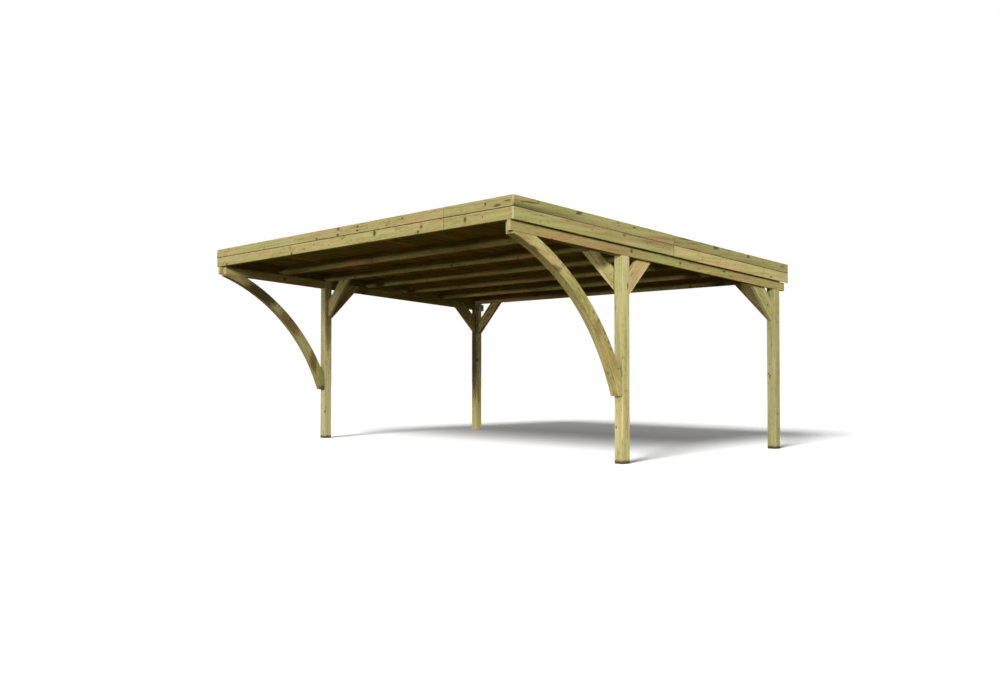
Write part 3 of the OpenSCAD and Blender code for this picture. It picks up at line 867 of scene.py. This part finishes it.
def screws(name, places, seed):
    """Screw heads at places, each a point on a face and the way that face looks."""
    mesh = bpy.data.meshes.new(name)
    mesh.from_pydata([p for p, _ in places], [], [])
    store(mesh, "out", "FLOAT_VECTOR", "POINT", [way for _, way in places])
    piece = made_by(driving, driving_sockets, {"Head": HEAD, "Crown": HEAD_CROWN, "Seed": seed},
                    mesh, name)
    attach(piece, "root")


rafter_rows = []
for rafter in ("front_edge_rafter", "front_bay_rafter", "front_post_rafter", "back_post_rafter",
               "back_edge_rafter"):
    low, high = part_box(rafter)
    rafter_rows.append((low.y + high.y) / 2)
low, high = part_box("front_bay_rafter")
rafter_thick = high.y - low.y
low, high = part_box("bay_rafters")
for k in range(3):
    rafter_rows.append(low.y + rafter_thick / 2 + k * (high.y - low.y - rafter_thick) / 2)

places = []
for y in rafter_rows:
    for depth in UPPER_SCREWS + LOWER_SCREWS:
        z = tray_high.z - tray_fall * (y - tray_low.y) - depth
        for way in (-1, 1):
            places.append(((way * (tray_high.x - FASCIA_CROWN), y, z), (way, 0, 0)))
screws("side_fascia_screws", places, 1)

places = []
reach = tray_high.x - FROM_CORNER
back_edge_z = tray_high.z - tray_fall * (tray_high.y - tray_low.y)
for y, way, edge_z, depths in (
        (tray_low.y + FASCIA_CROWN, -1, tray_high.z, UPPER_SCREWS + LOWER_SCREWS),
        (tray_high.y - FASCIA_CROWN, 1, back_edge_z, UPPER_SCREWS + BACK_LOWER_SCREWS)):
    for k in range(COLUMNS):
        x = -reach + 2 * reach * k / (COLUMNS - 1)
        for depth in depths:
            places.append(((x, y, edge_z - depth), (0, way, 0)))
screws("end_fascia_screws", places, 2)


# ---------------------------------------------------------------- studio
# A plain pale floor in a white surround. Soft suns and a ring of light above the
# horizon light the carport, and the floor has a sun of its own. The floor throws
# little light up, so the underside of the roof stays dark.
FLOOR_HALF = 60.0
FLOOR_SEEN, FLOOR_BOUNCE = (0.84, 0.84, 0.84, 1), (0.070, 0.052, 0.011, 1)
corners = [(sx * FLOOR_HALF, sy * FLOOR_HALF, 0) for sx, sy in ((-1, -1), (1, -1), (1, 1), (-1, 1))]
floor_mesh = bpy.data.meshes.new("floor")
floor_mesh.from_pydata(corners, [], [(0, 1, 2, 3)])
floor = new_object("floor", floor_mesh)
paint, t = new_material("pale_studio_floor")
path = add(t, "ShaderNodeLightPath", out=None)
seen = add(t, "ShaderNodeBsdfDiffuse", {"Color": FLOOR_SEEN})
bounced = add(t, "ShaderNodeBsdfDiffuse", {"Color": FLOOR_BOUNCE})
either = add(t, "ShaderNodeMixShader", {0: path.outputs["Is Camera Ray"], 1: bounced, 2: seen})
from_below = add(t, "ShaderNodeNewGeometry", out="Backfacing")
clear = add(t, "ShaderNodeBsdfTransparent")
one_way = add(t, "ShaderNodeMixShader", {0: from_below, 1: either, 2: clear})
add(t, "ShaderNodeOutputMaterial", {"Surface": one_way}, out=None)
floor_mesh.materials.append(paint)

# the surround: white where it is seen, and as light a ring that is strongest at the front
RING_STRENGTH, RING_FRONT = 1.9, Vector((0.42, -0.91, 0.0))
RING_LEVELS = ((0.20, 1.0), (0.32, 0.45), (0.60, 0.40), (0.85, 0.15))      # height, level
world = bpy.data.worlds.new("studio")
bpy.context.scene.world = world
world.use_nodes = True
t = world.node_tree
t.nodes.clear()
towards = add(t, "ShaderNodeTexCoord", out="Generated")
up = add(t, "ShaderNodeSeparateXYZ", {0: towards}, out=2)
ring = add(t, "ShaderNodeValToRGB", {0: up}, out=None)
stops = ring.color_ramp.elements
stops[0].position, stops[0].color = 0.0, (0, 0, 0, 1)
stops[1].position, stops[1].color = 0.01, (1, 1, 1, 1)
for height, level in RING_LEVELS:
    stops.new(height).color = (level, level, level, 1)
path = add(t, "ShaderNodeLightPath", out=None)
facing = add(t, "ShaderNodeVectorMath", {0: towards, 1: RING_FRONT}, out="Value",
             operation="DOT_PRODUCT")
weight = add(t, "ShaderNodeMapRange", {"Value": facing, "From Min": -0.3, "From Max": 0.6,
                                       "To Min": 0.3 * RING_STRENGTH, "To Max": RING_STRENGTH})
light = add(t, "ShaderNodeBackground", {"Color": ring.outputs["Color"], "Strength": weight})
white = add(t, "ShaderNodeBackground", {"Color": (1, 1, 1, 1), "Strength": 1.0})
through = add(t, "ShaderNodeMath", {
    0: path.outputs["Is Glossy Ray"], 1: path.outputs["Is Transmission Ray"]}, operation="MAXIMUM")
backdrop = add(t, "ShaderNodeMath", {0: path.outputs["Is Camera Ray"], 1: through}, operation="MAXIMUM")
either = add(t, "ShaderNodeMixShader", {0: backdrop, 1: light, 2: white})
add(t, "ShaderNodeOutputWorld", {"Surface": either}, out=None)


def sun(name, strength, azimuth, height, spread, floor_lit=False):
    """A far soft lamp, its angles in degrees. It lights all but the floor, or only that."""
    lamp = bpy.data.lights.new(name, "SUN")
    lamp.energy = strength
    lamp.angle = math.radians(spread)
    holder = new_object(name, lamp)
    a, e = math.radians(azimuth), math.radians(height)
    towards = Vector((math.sin(a) * math.cos(e), -math.cos(a) * math.cos(e), math.sin(e)))
    holder.rotation_euler = towards.to_track_quat("Z", "Y").to_euler()
    reached = bpy.data.collections.new(f"{name}_reaches")
    reached.objects.link(floor)
    if not floor_lit:
        reached.collection_objects[0].light_linking.link_state = "EXCLUDE"
        holder.light_linking.blocker_collection = reached
    holder.light_linking.receiver_collection = reached


sun("key", strength=2.75, azimuth=46, height=15, spread=11)
sun("low", strength=0.52, azimuth=10, height=-0.2, spread=3)
sun("fill", strength=2.2, azimuth=222, height=25, spread=30)
sun("floor_key", strength=5.8, azimuth=17.5, height=32, spread=18, floor_lit=True)

# the camera stands 13 m off to the front right, a metre above the ground
camera = new_object("camera", bpy.data.cameras.new("camera"))
camera.location = (9.520, -8.831, 0.971)
camera.rotation_euler = (math.radians(91.23), 0.0, math.radians(46.672))
camera.data.sensor_width = 36.0
camera.data.lens = 35.33
camera.data.shift_x, camera.data.shift_y = -0.0007, 0.0009
camera.data.clip_end = 500.0
bpy.context.scene.camera = camera
bpy.context.scene.view_settings.view_transform = "Standard"
